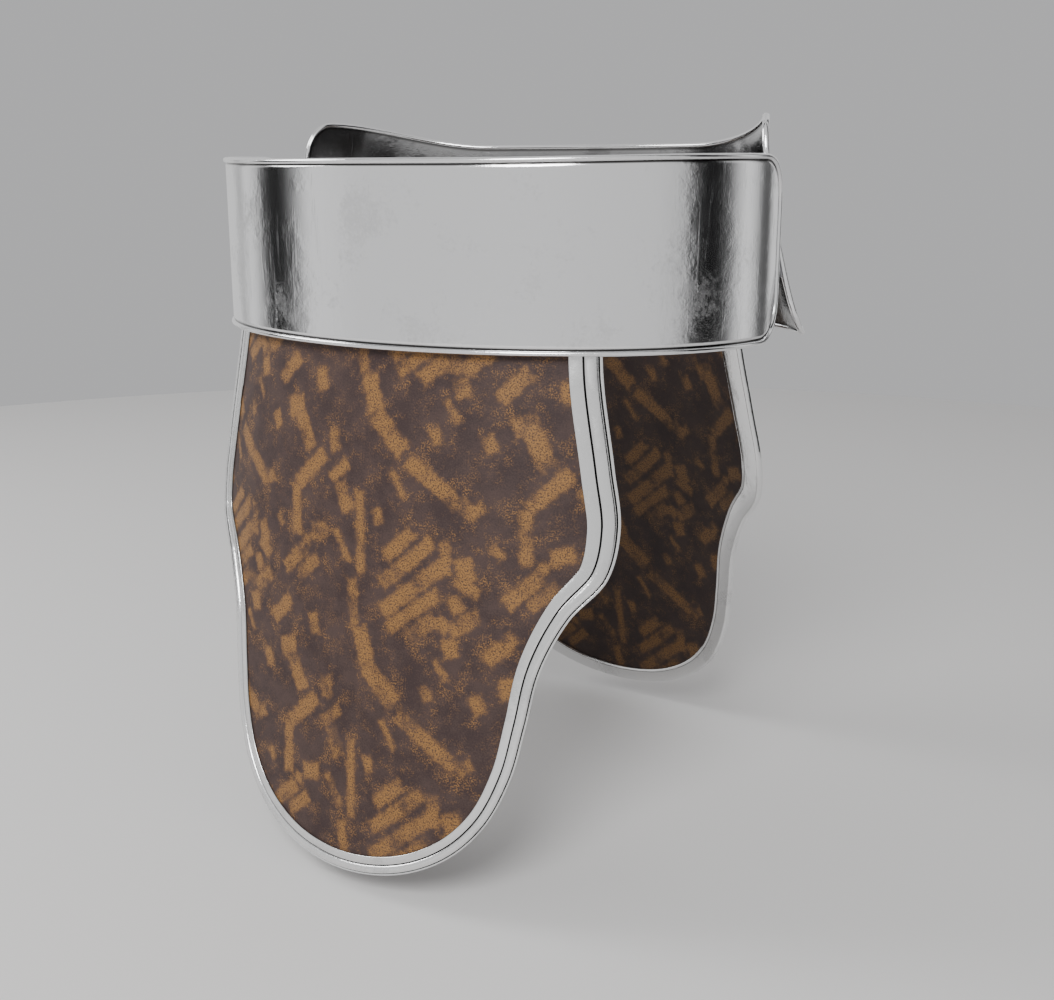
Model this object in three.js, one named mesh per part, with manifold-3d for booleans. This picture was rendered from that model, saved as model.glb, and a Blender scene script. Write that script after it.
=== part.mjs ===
// Waist armour: a belt of two polished steel plates, with a framed tasset hanging from each plate.
// Millimetres, +Z up. The wearer faces -Y, and the origin is the middle of the waist hollow,
// at half the front plate's height.
import * as THREE from 'three';
import { mergeVertices } from 'three/addons/utils/BufferGeometryUtils.js';
import Module from 'manifold-3d';

const wasm = await Module();
wasm.setup();

// Belt: outer face in plan, sheet thickness, and the gap kept between neighbours
const WAIST_HALF_WIDTH = 171;
const WAIST_HALF_DEPTH = 126.5;
const WALL = 1.6;
const GAP = 0.3;
const BELT_FOOT = -47.5;

// Each plate: where its ends stop (y), its top edge at the middle and its rise towards the ends.
// The rise runs between two shares of the half length, and the flare draws the ends in at the top
// and out at the foot.
const FRONT_PLATE = {
  endY: 18, top: 47.5, rise: 2.4, riseFrom: 0.2, riseTo: 0.9,
  corner: 25, flareLinear: 0, flareSquare: 0, rows: 2,
};
const BACK_PLATE = {
  endY: 22, top: 58, rise: 13.6, riseFrom: 0.37, riseTo: 0.89,
  corner: 22, flareLinear: -0.242, flareSquare: 0.00124, rows: 4,
};
const FLARE_FROM = 0.52;
const FLARE_TO = 0.95;
const PLATE_STEPS = 32;
const CORNER_STEPS = 5;
const ARC_STEPS = 600;
const MERGE_WITHIN = 1e-4;

// Rolled edge of a plate: distance in from the edge, and height over the sheet's face
const OUTER_EDGE = [
  { inset: 0, height: 0.1 },
  { inset: 0.4, height: 1.0 },
  { inset: 1.5, height: 1.4 },
  { inset: 2.6, height: 0.9 },
  { inset: 3.1, height: -0.3 },
  { inset: 4.6, height: 0 },
];
const INNER_EDGE = [
  { inset: 0, height: 0.1 },
  { inset: 1.3, height: 0.9 },
  { inset: 2.8, height: 0 },
];

// Tasset: a leather panel in a steel frame, hung inside the belt and flared towards its tip
const PANEL_WALL = 2;
const PANEL_INSET = 4.4;
const FLARE_SHARE = 0.3;
const FLARE_DROP = 250;
const CENTRE_SHIFT = 6;

// Half of the tasset's outline: drop below the belt, half width along the sheet, width of the frame
const OUTLINE = [
  { drop: -20, half: 126, frame: 17 },
  { drop: 10, half: 129, frame: 17 },
  { drop: 55, half: 138, frame: 17 },
  { drop: 85, half: 143, frame: 17 },
  { drop: 110, half: 138, frame: 15.8 },
  { drop: 130, half: 120, frame: 13.6 },
  { drop: 156, half: 107, frame: 12.2 },
  { drop: 185, half: 101, frame: 11.3 },
  { drop: 212, half: 95, frame: 10.8 },
  { drop: 238, half: 83, frame: 10.4 },
  { drop: 258, half: 64, frame: 10.4 },
  { drop: 272, half: 36, frame: 10 },
  { drop: 277.5, half: 0, frame: 10 },
];
const OUTLINE_STEPS = 24;
const PANEL_COLUMNS = [-1, -0.93, -0.8, -0.66, -0.52, -0.39, -0.26, -0.13, 0]
  .flatMap((share, i, all) => (i < all.length - 1 ? [share, -share] : [share]))
  .sort((a, b) => a - b);
const SLOT_DEPTH = 4;

// Frame moulding from its inner rim to its outer lip and round the back: share of the frame's
// width in from the outer lip, an extra distance in mm, and height over the panel's outer face
const MOULDING = [
  { share: 1, extra: 0, height: GAP },
  { share: 1, extra: 0, height: 0.9 },
  { share: 1, extra: -0.8, height: 1.2 },
  { share: 0.57, extra: 0, height: 1.2 },
  { share: 0.53, extra: 0, height: 0.5 },
  { share: 0.48, extra: 0, height: 1.5 },
  { share: 0.36, extra: 0, height: 2.1 },
  { share: 0.22, extra: 0, height: 2.1 },
  { share: 0.12, extra: 0, height: 1.5 },
  { share: 0.09, extra: 0, height: 0.4 },
  { share: 0.06, extra: 0, height: 0.9 },
  { share: 0, extra: 0, height: 0.7 },
  { share: 0, extra: 0, height: -2.8 },
  { share: 0, extra: 0.8, height: -3.3 },
  { share: 1, extra: -0.8, height: -3.3 },
  { share: 1, extra: 0, height: -PANEL_WALL - GAP },
  { share: 1, extra: -SLOT_DEPTH, height: -PANEL_WALL - GAP },
  { share: 1, extra: -SLOT_DEPTH, height: GAP },
];

// Hidden pins that hold each tasset to its plate, and plain plates that join the belt at the hips
const PIN_ANGLES = [-28, 0, 28];
const PIN_RISE = 10;
const PIN_SHANK = 2;
const PIN_HOLE = 2.3;
const PIN_COLLAR = 4.5;
const PIN_HEAD = 5;
const PIN_CROWN = 3.5;
const PIN_HEAD_EDGE = 0.6;
const PIN_HEAD_SHOULDER = 1.6;
const PIN_HEAD_HEIGHT = 1.8;
const PIN_HOLE_LENGTH = 6;
const PIN_SIDES = 8;
const JOINER_HALF_HEIGHT = 14;
const JOINER_REACH = 20;
const JOINER_WALL = 1.6;
const JOINER_SEAT = 0.6;
const JOINER_STEPS = 3;

const steel = new THREE.MeshStandardMaterial({ color: 0xc4c4c6, metalness: 1, roughness: 0.2 });
const leather = new THREE.MeshStandardMaterial({ color: 0x56423e, metalness: 0, roughness: 0.65 });

function smoothstep(from, to, value) {
  return THREE.MathUtils.smoothstep(value, from, to);
}

// A closed surface from named points: rows of [x, y, z] are added once and joined by index
class Shell {
  constructor() {
    this.positions = [];
    this.indices = [];
  }

  add(points) {
    const first = this.positions.length / 3;
    for (const point of points) this.positions.push(point.x, point.y, point.z);
    return points.map((_, offset) => first + offset);
  }

  quad(a, b, c, d) {
    this.indices.push(a, b, c, a, c, d);
  }

  // Joins two rows of equal length into a band, which closes on itself where asked
  band(lower, upper, closed) {
    const count = closed ? lower.length : lower.length - 1;
    for (let i = 0; i < count; i += 1) {
      const next = (i + 1) % lower.length;
      this.quad(lower[i], lower[next], upper[next], upper[i]);
    }
  }

  flip() {
    for (let i = 0; i < this.indices.length; i += 3) {
      const swap = this.indices[i];
      this.indices[i] = this.indices[i + 1];
      this.indices[i + 1] = swap;
    }
  }

  geometry() {
    const loose = new THREE.BufferGeometry();
    loose.setAttribute('position', new THREE.Float32BufferAttribute(this.positions, 3));
    loose.setIndex(this.indices);
    return mergeVertices(loose, MERGE_WITHIN);
  }
}

// Signed volume, which is negative where the faces point inwards
function pointsInwards(geometry) {
  const position = geometry.getAttribute('position');
  const index = geometry.getIndex();
  const corners = [new THREE.Vector3(), new THREE.Vector3(), new THREE.Vector3()];
  let volume = 0;
  for (let i = 0; i < index.count; i += 3) {
    corners.forEach((corner, k) => corner.fromBufferAttribute(position, index.getX(i + k)));
    volume += corners[0].dot(corners[1].clone().cross(corners[2]));
  }
  return volume < 0;
}

function closedGeometry(shell) {
  const geometry = shell.geometry();
  if (!pointsInwards(geometry)) return geometry;
  shell.flip();
  return shell.geometry();
}

// Plan of one belt plate, from one end through its middle to the other; facing is -1 front, 1 back
function platePlan(plate, facing) {
  const overhang = Math.asin(plate.endY / WAIST_HALF_DEPTH);
  const start = facing < 0 ? Math.PI - overhang : overhang;
  const end = facing < 0 ? 2 * Math.PI + overhang : Math.PI - overhang;
  const curve = new THREE.EllipseCurve(0, 0, WAIST_HALF_WIDTH, WAIST_HALF_DEPTH, start, end);
  curve.arcLengthDivisions = ARC_STEPS;
  return { curve, half: curve.getLength() / 2 };
}

// Point on a plate: along is measured from its middle, height over the sheet's outer face
function platePoint(plate, plan, along, z, height) {
  const share = THREE.MathUtils.clamp((along / plan.half + 1) / 2, 0, 1);
  const spot = plan.curve.getPointAt(share);
  const way = plan.curve.getTangentAt(share);
  const sprung = smoothstep(FLARE_FROM, FLARE_TO, Math.abs(along) / plan.half);
  const flare = (plate.flareLinear * z + plate.flareSquare * z * z) * sprung;
  const out = height + flare;
  return new THREE.Vector3(spot.x + way.y * out, spot.y - way.x * out, z);
}

// Top and foot edges of a plate, both drawn in by an inset, with rounded corners at the ends
function plateEdges(plate, plan, inset) {
  const straight = plan.half - plate.corner;
  const round = plate.corner - inset;
  const topAt = (along) => {
    const share = Math.abs(along) / plan.half;
    return plate.top + plate.rise * smoothstep(plate.riseFrom, plate.riseTo, share) - inset;
  };
  const side = [];
  for (let i = 0; i <= PLATE_STEPS; i += 1) {
    const along = straight * (2 * i / PLATE_STEPS - 1);
    side.push({ along, top: topAt(along), foot: BELT_FOOT + inset });
  }
  const cornerAt = (turn, hand) => {
    const drop = round * (1 - Math.cos(turn));
    return {
      along: hand * (straight + round * Math.sin(turn)),
      top: topAt(straight) - drop,
      foot: BELT_FOOT + inset + drop,
    };
  };
  const right = [];
  const left = [];
  for (let i = 1; i <= CORNER_STEPS; i += 1) {
    const turn = Math.PI / 2 * i / CORNER_STEPS;
    right.push(cornerAt(turn, 1));
    left.unshift(cornerAt(turn, -1));
  }
  return [...left, ...side, ...right];
}

function beltPlate(plate, facing) {
  const plan = platePlan(plate, facing);
  const shell = new Shell();
  const between = Array.from({ length: plate.rows - 1 }, (_, i) => (i + 1) / plate.rows);
  const pointOn = (edge, share, height) => {
    const z = THREE.MathUtils.lerp(edge.top, edge.foot, share);
    return platePoint(plate, plan, edge.along, z, height(z));
  };
  // A loop runs along the top, down one end, back along the foot and up the other end
  const loopAt = (edges, height) => shell.add([
    ...edges.map((edge) => pointOn(edge, 0, height)),
    ...between.map((share) => pointOn(edges.at(-1), share, height)),
    ...edges.map((edge) => pointOn(edge, 1, height)).reverse(),
    ...between.map((share) => pointOn(edges[0], share, height)).reverse(),
  ]);
  // The field inside the innermost loop, in rows from the top edge to the foot
  const fillField = (edges, loop, height, inwards) => {
    const count = edges.length;
    const ends = between.length;
    const rightEnd = loop.slice(count, count + ends);
    const feet = loop.slice(count + ends, 2 * count + ends).reverse();
    const leftEnd = loop.slice(2 * count + ends).reverse();
    const rows = between.map((share, row) => [
      leftEnd[row],
      ...shell.add(edges.slice(1, -1).map((edge) => pointOn(edge, share, () => height))),
      rightEnd[row],
    ]);
    [...rows, feet].reduce((upper, lower) => {
      if (inwards) shell.band(lower, upper, false);
      else shell.band(upper, lower, false);
      return lower;
    }, loop.slice(0, count));
  };
  // The inner bead fades out below the top edge, because the joiners and the tasset sit on a plain face
  const innerHeight = (step) => (z) => {
    const shown = smoothstep(JOINER_HALF_HEIGHT, plate.top - plate.corner, z);
    return -WALL - step.height * shown;
  };
  let outerLoop = null;
  let edgeLoop = null;
  let edges = null;
  for (const step of OUTER_EDGE) {
    edges = plateEdges(plate, plan, step.inset);
    const loop = loopAt(edges, () => step.height);
    if (outerLoop) shell.band(outerLoop, loop, true);
    else edgeLoop = loop;
    outerLoop = loop;
  }
  fillField(edges, outerLoop, OUTER_EDGE.at(-1).height, false);
  let innerLoop = edgeLoop;
  for (const step of INNER_EDGE) {
    edges = plateEdges(plate, plan, step.inset);
    const loop = loopAt(edges, innerHeight(step));
    shell.band(loop, innerLoop, true);
    innerLoop = loop;
  }
  fillField(edges, innerLoop, -WALL, true);
  return closedGeometry(shell);
}

// Sheet that a tasset is cut from: across is measured from its middle, facing is -1 front, 1 back
const SHEET_PLAN = new THREE.EllipseCurve(
  0, 0, WAIST_HALF_WIDTH - PANEL_INSET, WAIST_HALF_DEPTH - PANEL_INSET, -Math.PI / 2, Math.PI / 2,
);
SHEET_PLAN.arcLengthDivisions = ARC_STEPS;
const SHEET_LENGTH = SHEET_PLAN.getLength();

function sheetPoint(facing, across, drop, height) {
  const spread = 1 + FLARE_SHARE * Math.max(0, drop) / FLARE_DROP;
  const share = Math.min(1, Math.abs(across) / spread / SHEET_LENGTH);
  const spot = SHEET_PLAN.getPointAt(share);
  const way = SHEET_PLAN.getTangentAt(share);
  const hand = Math.sign(across);
  const shift = CENTRE_SHIFT * smoothstep(0, FLARE_DROP, drop);
  const x = hand * (spot.x * spread + way.y * height) + shift;
  const y = -(spot.y * spread - way.x * height);
  return new THREE.Vector3(x, facing * y, BELT_FOOT - drop);
}

// Evenly spaced points on half of the outline, from the tucked top to the tip, with the way inwards
function outlineHalf() {
  const knots = OUTLINE.map((row) => new THREE.Vector3(row.half, -row.drop, row.frame));
  const mirrored = OUTLINE.slice(-3, -1).reverse().map(
    (row) => new THREE.Vector3(-row.half, -row.drop, row.frame),
  );
  const curve = new THREE.CatmullRomCurve3([...knots, ...mirrored], false, 'centripetal');
  const tipShare = (OUTLINE.length - 1) / (knots.length + mirrored.length - 1);
  const fine = [];
  for (let i = 0; i <= ARC_STEPS; i += 1) fine.push(curve.getPoint(tipShare * i / ARC_STEPS));
  const lengths = [0];
  for (let i = 1; i < fine.length; i += 1) {
    lengths.push(lengths[i - 1] + Math.hypot(fine[i].x - fine[i - 1].x, fine[i].y - fine[i - 1].y));
  }
  const points = [];
  let cursor = 1;
  for (let i = 0; i <= OUTLINE_STEPS; i += 1) {
    const target = lengths.at(-1) * i / OUTLINE_STEPS;
    while (cursor < fine.length - 1 && lengths[cursor] < target) cursor += 1;
    const mix = (target - lengths[cursor - 1]) / (lengths[cursor] - lengths[cursor - 1]);
    const spot = fine[cursor - 1].clone().lerp(fine[cursor], mix);
    const way = fine[cursor].clone().sub(fine[cursor - 1]).setZ(0).normalize();
    if (i === 0) way.set(0, -1, 0);
    if (i === OUTLINE_STEPS) way.set(-1, 0, 0);
    points.push({ across: spot.x, drop: -spot.y, frame: spot.z, inAcross: way.y, inDrop: way.x });
  }
  points.at(-1).across = 0;
  return points;
}

const HALF = outlineHalf();

function tassetFrame(facing) {
  const shell = new Shell();
  const leftSide = HALF.slice(0, -1).map(
    (spot) => ({ ...spot, across: -spot.across, inAcross: -spot.inAcross }),
  );
  const path = [...leftSide, ...HALF.slice().reverse()];
  const loops = path.map((spot) => shell.add(MOULDING.map((corner) => {
    const inset = corner.share * spot.frame + corner.extra;
    const across = spot.across + spot.inAcross * inset;
    return sheetPoint(facing, across, spot.drop + spot.inDrop * inset, corner.height);
  })));
  for (let i = 1; i < loops.length; i += 1) shell.band(loops[i - 1], loops[i], true);
  const flat = MOULDING.map((corner) => new THREE.Vector2(
    corner.share * OUTLINE[0].frame + corner.extra, corner.height,
  ));
  const caps = THREE.ShapeUtils.triangulateShape(flat, []);
  for (const [a, b, c] of caps) {
    shell.indices.push(loops[0][c], loops[0][b], loops[0][a]);
    shell.indices.push(loops.at(-1)[a], loops.at(-1)[b], loops.at(-1)[c]);
  }
  return closedGeometry(shell);
}

function pinPlace(facing, angle) {
  const turn = THREE.MathUtils.degToRad(angle);
  const across = Math.sign(angle) * SHEET_LENGTH * arcShare(Math.abs(turn));
  const spot = sheetPoint(facing, across, -PIN_RISE, 0);
  const out = sheetPoint(facing, across, -PIN_RISE, 1).sub(spot);
  const lean = new THREE.Quaternion().setFromUnitVectors(new THREE.Vector3(0, 1, 0), out);
  return new THREE.Matrix4().compose(spot, lean, new THREE.Vector3(1, 1, 1));
}

// Share of the half sheet's length between its middle and an angle of the plan's ellipse
function arcShare(turn) {
  const lengths = SHEET_PLAN.getLengths();
  const index = Math.round(turn / Math.PI * (lengths.length - 1));
  return lengths[index] / lengths.at(-1);
}

function toManifold(geometry) {
  const bare = geometry.clone();
  bare.deleteAttribute('normal');
  bare.deleteAttribute('uv');
  const merged = mergeVertices(bare, MERGE_WITHIN);
  return new wasm.Manifold(new wasm.Mesh({
    numProp: 3,
    vertProperties: new Float32Array(merged.getAttribute('position').array),
    triVerts: new Uint32Array(merged.getIndex().array),
  }));
}

function fromManifold(solid) {
  const mesh = solid.getMesh();
  const geometry = new THREE.BufferGeometry();
  geometry.setAttribute('position', new THREE.Float32BufferAttribute(mesh.vertProperties, 3));
  geometry.setIndex(new THREE.Uint32BufferAttribute(mesh.triVerts, 1));
  return geometry;
}

function tassetPanel(facing) {
  const shell = new Shell();
  const rowsAt = (height) => HALF.map((spot, i) => {
    const inset = i === 0 ? 0 : spot.frame - SLOT_DEPTH + GAP;
    const half = i === 0
      ? spot.across - spot.frame + SLOT_DEPTH - GAP
      : Math.max(0, spot.across + spot.inAcross * inset);
    const drop = spot.drop + (i === 0 ? 0 : spot.inDrop * inset);
    return shell.add(PANEL_COLUMNS.map((column) => sheetPoint(facing, column * half, drop, height)));
  });
  const outer = rowsAt(0);
  const inner = rowsAt(-PANEL_WALL);
  const rim = (rows) => [
    ...rows[0],
    ...rows.slice(1).map((row) => row.at(-1)),
    ...rows.slice(1, -1).reverse().map((row) => row[0]),
  ];
  for (let i = 1; i < outer.length; i += 1) {
    shell.band(outer[i - 1], outer[i], false);
    shell.band(inner[i], inner[i - 1], false);
  }
  shell.band(rim(inner), rim(outer), true);
  let solid = toManifold(closedGeometry(dropFlatTriangles(shell)));
  for (const angle of PIN_ANGLES) {
    const hole = new THREE.CylinderGeometry(PIN_HOLE, PIN_HOLE, PIN_HOLE_LENGTH, PIN_SIDES);
    hole.translate(0, -PANEL_WALL / 2, 0).applyMatrix4(pinPlace(facing, angle));
    solid = solid.subtract(toManifold(hole));
  }
  return fromManifold(solid);
}

// Removes the triangles that have no area, which the tip's single point leaves behind
function dropFlatTriangles(shell) {
  const geometry = shell.geometry();
  const index = geometry.getIndex().array;
  const kept = new Shell();
  kept.positions = Array.from(geometry.getAttribute('position').array);
  for (let i = 0; i < index.length; i += 3) {
    const [a, b, c] = [index[i], index[i + 1], index[i + 2]];
    if (a !== b && b !== c && c !== a) kept.indices.push(a, b, c);
  }
  return kept;
}

function tassetPin(facing, angle) {
  const seat = PANEL_INSET - WALL - GAP;
  const back = -PANEL_WALL - GAP;
  const profile = [
    [0, back - PIN_HEAD_HEIGHT], [PIN_CROWN, back - PIN_HEAD_SHOULDER],
    [PIN_HEAD, back - PIN_HEAD_EDGE], [PIN_HEAD, back], [PIN_SHANK, back],
    [PIN_SHANK, GAP], [PIN_COLLAR, GAP], [PIN_COLLAR, seat], [0, seat],
  ].map(([radius, out]) => new THREE.Vector2(radius, out));
  return new THREE.LatheGeometry(profile, PIN_SIDES).applyMatrix4(pinPlace(facing, angle));
}

// A plain plate inside the belt that bridges the seam between the front and back plates
function hipJoiner(hand) {
  const shell = new Shell();
  const levels = [-JOINER_HALF_HEIGHT, 0, JOINER_HALF_HEIGHT];
  const stations = [];
  for (let i = 0; i <= JOINER_STEPS; i += 1) {
    const reach = JOINER_REACH * i / JOINER_STEPS;
    stations.unshift({ plate: FRONT_PLATE, facing: -1, reach });
    stations.push({ plate: BACK_PLATE, facing: 1, reach });
  }
  const loops = stations.map(({ plate, facing, reach }) => {
    const plan = platePlan(plate, facing);
    const along = -hand * facing * (plan.half - reach);
    const pointAt = (z, depth) => platePoint(plate, plan, along, z, -WALL - JOINER_SEAT - depth);
    const seat = levels.map((z) => pointAt(z, 0));
    const inside = levels.map((z) => pointAt(z, JOINER_WALL)).reverse();
    return shell.add([...seat, ...inside]);
  });
  for (let i = 1; i < loops.length; i += 1) shell.band(loops[i - 1], loops[i], true);
  for (const loop of [loops[0].slice().reverse(), loops.at(-1)]) {
    const [a, b, c, d, e, f] = loop;
    shell.quad(a, b, e, f);
    shell.quad(b, c, d, e);
  }
  return closedGeometry(shell);
}

function named(name, geometry, material) {
  const mesh = new THREE.Mesh(geometry, material);
  mesh.name = name;
  return mesh;
}

const armour = new THREE.Group();
for (const side of [
  { name: 'front', facing: -1, plate: FRONT_PLATE },
  { name: 'back', facing: 1, plate: BACK_PLATE },
]) {
  const half = new THREE.Group();
  half.add(named(`${side.name}_belt_plate`, beltPlate(side.plate, side.facing), steel));
  half.add(named(`${side.name}_tasset_frame`, tassetFrame(side.facing), steel));
  half.add(named(`${side.name}_tasset_panel`, tassetPanel(side.facing), leather));
  PIN_ANGLES.forEach((angle, i) => {
    half.add(named(`${side.name}_tasset_pin_${i + 1}`, tassetPin(side.facing, angle), steel));
  });
  armour.add(half);
}
armour.add(named('left_hip_joiner', hipJoiner(1), steel));
armour.add(named('right_hip_joiner', hipJoiner(-1), steel));

export default armour;
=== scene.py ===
# %% [markdown]
# # Waist armour
# A belt of two polished steel plates goes round the waist, and a tasset, a leather panel in a steel
# frame, hangs from each plate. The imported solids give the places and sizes. This lesson makes each
# piece again with smooth curves and a worked surface, because a polished plate shows every facet.

# %% Load the frame
import math
import bmesh
import bpy
import numpy as np
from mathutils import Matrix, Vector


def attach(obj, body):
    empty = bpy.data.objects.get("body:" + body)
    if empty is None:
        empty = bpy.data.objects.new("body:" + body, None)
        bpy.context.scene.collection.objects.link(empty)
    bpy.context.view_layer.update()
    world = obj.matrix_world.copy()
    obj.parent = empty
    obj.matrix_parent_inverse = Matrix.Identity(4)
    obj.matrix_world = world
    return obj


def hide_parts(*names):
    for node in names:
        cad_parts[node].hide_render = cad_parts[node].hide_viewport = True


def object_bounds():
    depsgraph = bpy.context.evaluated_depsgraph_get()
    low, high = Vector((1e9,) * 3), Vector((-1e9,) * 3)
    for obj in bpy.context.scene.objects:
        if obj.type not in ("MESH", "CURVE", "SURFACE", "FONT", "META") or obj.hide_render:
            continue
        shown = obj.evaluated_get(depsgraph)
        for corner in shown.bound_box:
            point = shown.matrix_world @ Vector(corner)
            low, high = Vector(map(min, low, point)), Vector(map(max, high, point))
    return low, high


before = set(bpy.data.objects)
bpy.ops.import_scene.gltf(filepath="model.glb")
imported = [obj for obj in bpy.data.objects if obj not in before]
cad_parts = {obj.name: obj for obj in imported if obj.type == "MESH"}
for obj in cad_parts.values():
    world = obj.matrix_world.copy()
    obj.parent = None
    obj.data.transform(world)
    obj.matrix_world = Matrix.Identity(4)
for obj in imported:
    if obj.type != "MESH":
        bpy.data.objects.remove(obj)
cad_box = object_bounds()
MM = 0.001
print("frame:", len(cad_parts), "nodes in a box of", [list(corner) for corner in cad_box])

# %% [markdown]
# ## Camera
# The armour is seen from its front left, a little from above the tassets and level with the belt, so
# the belt hides most of its own hollow. A longer lens keeps the oval from looking stretched.

# %% Place the camera
CAMERA_PLACE = (0.4265, -0.649, 0.041)
CAMERA_TURN = math.radians(31.86)
CAMERA_DIP = math.radians(14.18)
LENS_MM = 44.44

camera_data = bpy.data.cameras.new("camera")
camera_data.lens = LENS_MM
camera = bpy.data.objects.new("camera", camera_data)
camera.location = CAMERA_PLACE
camera.rotation_euler = (math.pi / 2 - CAMERA_DIP, 0, CAMERA_TURN)
bpy.context.collection.objects.link(camera)
bpy.context.scene.camera = camera
print("camera at", CAMERA_PLACE, "with a lens of", LENS_MM, "mm")

# %% [markdown]
# ## Node helpers
# Every finish and every repeated shape below is a node tree. A few short helpers add nodes and
# join them to what feeds them, so that a tree reads as a list of steps.

# %% Helpers for node trees
def add_node(tree, kind, values=None, **settings):
    """Adds a node, sets its options, and feeds its inputs from sockets or plain values."""
    node = tree.nodes.new(kind)
    for name, setting in settings.items():
        setattr(node, name, setting)
    for key, value in (values or {}).items():
        socket = node.inputs[key]
        if isinstance(value, bpy.types.NodeSocket):
            tree.links.new(value, socket)
        else:
            socket.default_value = value
    return node


def calculate(tree, operation, first, second=0.0):
    """One step of arithmetic on two sockets or numbers."""
    return add_node(tree, "ShaderNodeMath", {0: first, 1: second}, operation=operation).outputs[0]


def blend_colours(tree, share, first, second):
    """A colour between two others."""
    node = add_node(tree, "ShaderNodeMix", data_type="RGBA")
    for socket, value in zip((node.inputs[0], node.inputs[6], node.inputs[7]), (share, first, second)):
        if isinstance(value, bpy.types.NodeSocket):
            tree.links.new(value, socket)
        else:
            socket.default_value = value
    return node.outputs[2]


def remap(tree, value, low, high, to_low, to_high):
    """Stretches a range of values to another, smoothly and without passing its ends."""
    node = add_node(tree, "ShaderNodeMapRange",
                    {"Value": value, "From Min": low, "From Max": high, "To Min": to_low, "To Max": to_high},
                    interpolation_type="SMOOTHSTEP")
    return node.outputs[0]


def new_material(name):
    """A material with a Principled shader, and the sockets it is fed through."""
    material = bpy.data.materials.new(name)
    material.use_nodes = True
    return material, material.node_tree, material.node_tree.nodes["Principled BSDF"]


print("node helpers ready")

# %% [markdown]
# ## Polished steel
# The belt is polished like a mirror, but it has been handled: hazy smudges break up the reflections
# near the darker stripes, and fine scratches run in them. One node group makes the haze and the
# scratches, and the belt, the frames and the pins each use it in their own strength.

# %% Worn polish as a node group
SPECK_SCALE = 420.0
SPECK_REACH = 0.3
STREAK_SCALE = 260.0
STREAK_STRETCH = (1.0, 1.0, 0.12)
RIPPLE_SCALE = 130.0


def worn_polish_group():
    """Haze from two scales of noise, and short scratches where the noise is drawn out."""
    group = bpy.data.node_groups.new("worn_polish", "ShaderNodeTree")
    for name, kind in (("Smudge size", "NodeSocketFloat"), ("Coverage", "NodeSocketFloat")):
        group.interface.new_socket(name, in_out="INPUT", socket_type=kind)
    for name in ("Haze", "Scratch", "Ripple"):
        group.interface.new_socket(name, in_out="OUTPUT", socket_type="NodeSocketFloat")
    entry = group.nodes.new("NodeGroupInput")
    leave = group.nodes.new("NodeGroupOutput")
    place = add_node(group, "ShaderNodeTexCoord").outputs["Object"]
    broad = add_node(group, "ShaderNodeTexNoise",
                     {"Vector": place, "Scale": entry.outputs[0], "Detail": 6.0, "Roughness": 0.62}).outputs[0]
    speck = add_node(group, "ShaderNodeTexNoise",
                     {"Vector": place, "Scale": SPECK_SCALE, "Detail": 3.0, "Roughness": 0.7}).outputs[0]
    drawn = add_node(group, "ShaderNodeMapping", {"Vector": place, "Scale": STREAK_STRETCH}).outputs[0]
    streak = add_node(group, "ShaderNodeTexNoise",
                      {"Vector": drawn, "Scale": STREAK_SCALE, "Detail": 4.0, "Roughness": 0.6}).outputs[0]
    ripple = add_node(group, "ShaderNodeTexNoise",
                      {"Vector": place, "Scale": RIPPLE_SCALE, "Detail": 6.0, "Roughness": 0.66}).outputs[0]
    patch = calculate(group, "ADD", broad, entry.outputs[1])
    speckled = calculate(group, "MULTIPLY", calculate(group, "SUBTRACT", speck, 0.5), SPECK_REACH)
    ragged = calculate(group, "ADD", patch, speckled)
    haze = remap(group, ragged, 0.5, 0.68, 0.0, 1.0)
    group.links.new(haze, leave.inputs[0])
    group.links.new(remap(group, streak, 0.55, 0.75, 0.0, 1.0), leave.inputs[1])
    marked = calculate(group, "MULTIPLY", ripple, remap(group, patch, 0.4, 0.6, 0.1, 1.0))
    group.links.new(marked, leave.inputs[2])
    return group


WORN_POLISH = worn_polish_group()
print("worn polish group:", len(WORN_POLISH.nodes), "nodes")

# %% Steel finishes
PAINTED_SHADE_TONE = (0.03, 0.028, 0.026, 1.0)
DULLED_SHARE = 0.86
SCRATCH_ROUGHNESS = 0.05
SCRATCH_DEPTH = 0.15
STEEL_BUMP = 0.35
STEEL_BUMP_DEPTH = 0.0005


def steel(name, tone, smudge_size, coverage, clear_roughness, hazy_roughness):
    """Polished steel whose haze lifts the roughness, with a slight unevenness in the surface."""
    material, tree, shader = new_material(name)
    worn = add_node(tree, "ShaderNodeGroup", node_tree=WORN_POLISH)
    worn.inputs["Smudge size"].default_value = smudge_size
    worn.inputs["Coverage"].default_value = coverage
    shader.inputs["Metallic"].default_value = 1.0
    dulled = tuple(DULLED_SHARE * channel for channel in tone) + (1.0,)
    polished = blend_colours(tree, worn.outputs["Haze"], tone + (1.0,), dulled)
    # A point attribute marks painted shade: a dark steel colour is mixed in over the grooves, the frame's slot and
    # the plates' inner faces.
    grime = add_node(tree, "ShaderNodeAttribute", attribute_name="grime").outputs["Fac"]
    tree.links.new(blend_colours(tree, grime, polished, PAINTED_SHADE_TONE), shader.inputs["Base Color"])
    roughness = remap(tree, worn.outputs["Haze"], 0.0, 1.0, clear_roughness, hazy_roughness)
    scratched = calculate(tree, "MULTIPLY", worn.outputs["Scratch"], SCRATCH_ROUGHNESS)
    tree.links.new(calculate(tree, "ADD", roughness, scratched), shader.inputs["Roughness"])
    scored = calculate(tree, "MULTIPLY", worn.outputs["Scratch"], SCRATCH_DEPTH)
    uneven = calculate(tree, "ADD", worn.outputs["Ripple"], scored)
    bump = add_node(tree, "ShaderNodeBump",
                    {"Strength": STEEL_BUMP, "Distance": STEEL_BUMP_DEPTH, "Height": uneven})
    tree.links.new(bump.outputs[0], shader.inputs["Normal"])
    return material


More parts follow.
